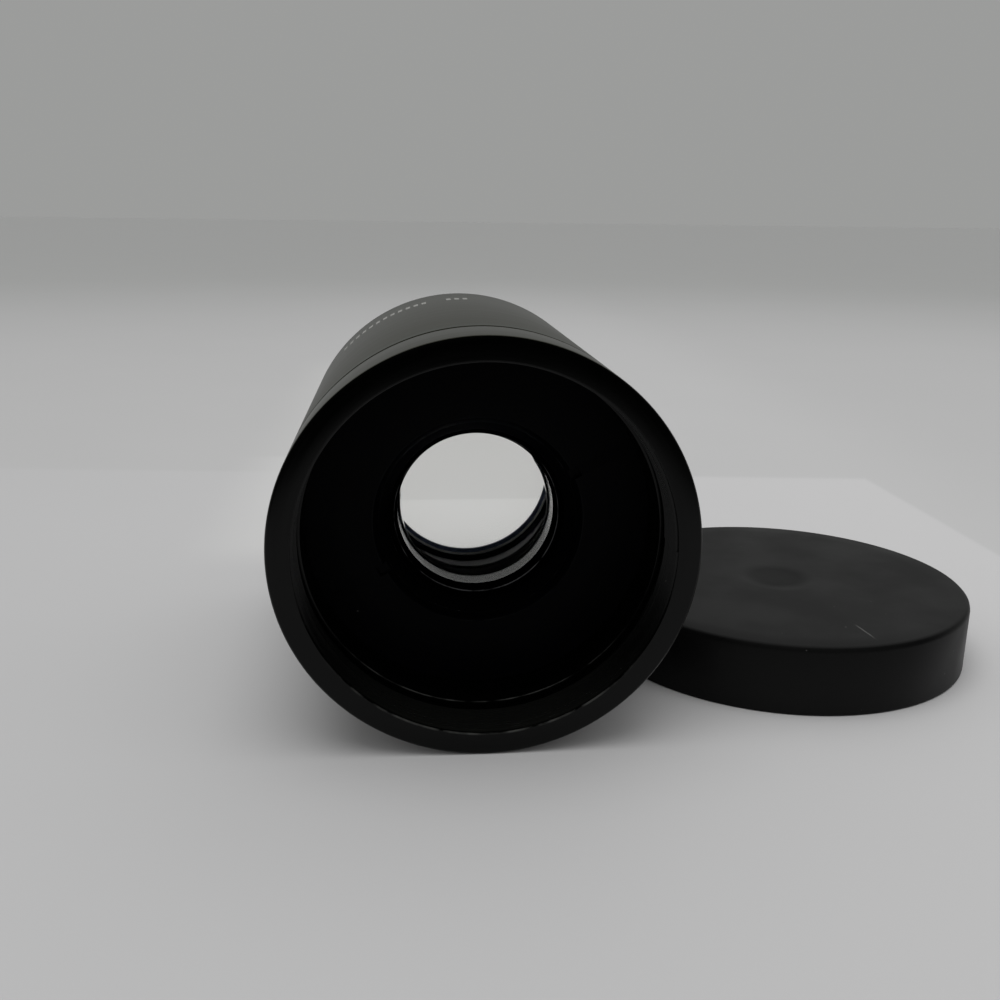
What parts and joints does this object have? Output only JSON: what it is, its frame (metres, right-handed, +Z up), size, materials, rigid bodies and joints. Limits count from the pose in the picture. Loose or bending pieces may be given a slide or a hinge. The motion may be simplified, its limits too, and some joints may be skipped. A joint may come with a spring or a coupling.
{
  "type": "teleconverter",
  "caption": "Tubular afocal teleconverter with glass groups in threaded cells, a camera-side thread, a filter thread and a slip-on dust cap lying beside it.",
  "frame": {"origin": "centre of the camera-side mouth, on the optical axis, in the plane of the rim's face", "axes": "+Y along the optical axis towards the subject side, +Z up, +X towards the side where the dust cap lies; the barrel lies on its flank"},
  "size_m": [0.1611, 0.0992, 0.081],
  "materials": {
    "barrel_anodise": "satin black anodised, fine turned marks round it",
    "ring_anodise": "black anodised, face-turned, semi-gloss",
    "cell_anodise": "black anodised, matte inside",
    "baffle_paint": "dead matte black paint",
    "shim_brass": "plain lapped",
    "screw_steel": "blackened steel",
    "flint_glass": "polished, coated, ground edge",
    "crown_glass": "polished, coated, ground edge",
    "cap_plastic": "fine matte moulded, light scratches",
    "liner_felt": "black felt"
  },
  "bodies": {
    "root": {"mount_ring": "ring_anodise", "main_barrel": "barrel_anodise", "grub_screws": "screw_steel", "cell_shim": "shim_brass", "lens_cell": "cell_anodise", "lens_cell_retainer": "cell_anodise", "negative_element": "crown_glass", "spacer_ring": "cell_anodise", "meniscus_element": "flint_glass", "light_baffle": "baffle_paint", "objective_cell": "cell_anodise", "objective_flint": "flint_glass", "objective_crown": "crown_glass", "objective_retainer": "cell_anodise", "front_ring": "barrel_anodise", "dust_cap": "cap_plastic", "cap_liner": "liner_felt"}
  },
  "joints": []
}
